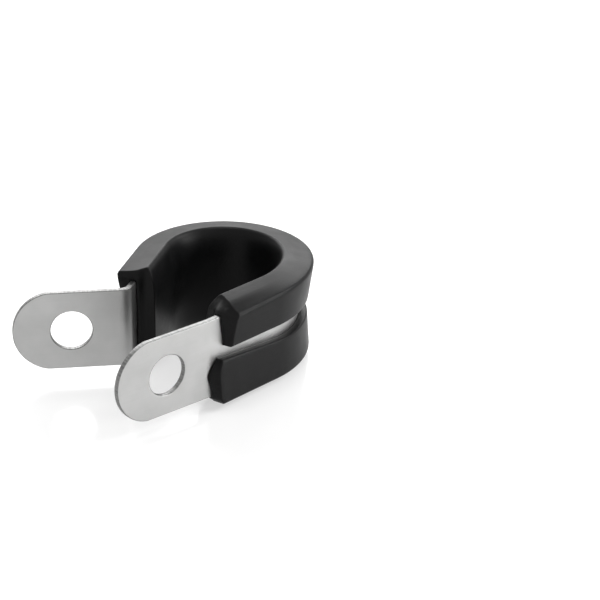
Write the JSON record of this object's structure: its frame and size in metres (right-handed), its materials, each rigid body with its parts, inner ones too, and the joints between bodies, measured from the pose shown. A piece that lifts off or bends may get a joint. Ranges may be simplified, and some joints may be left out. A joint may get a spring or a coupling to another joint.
{
  "type": "rubber-lined p clip",
  "caption": "Steel band bent into an open loop with two rounded screw tabs, with a rubber sleeve over the band's edges; holds a cable or hose to a surface.",
  "frame": {"origin": "on the loop's axis, half way across the sleeve's width", "axes": "+Z along the loop's axis, which is the way the held cable runs; the two tabs reach towards -X and -Y"},
  "size_m": [0.0437, 0.0418, 0.0158],
  "materials": {
    "steel": "rolled stainless strip with bright sheared edges",
    "rubber": "smooth satin black moulded rubber"
  },
  "bodies": {
    "root": {"steel_band": "steel", "rubber_sleeve": "rubber"}
  },
  "joints": []
}
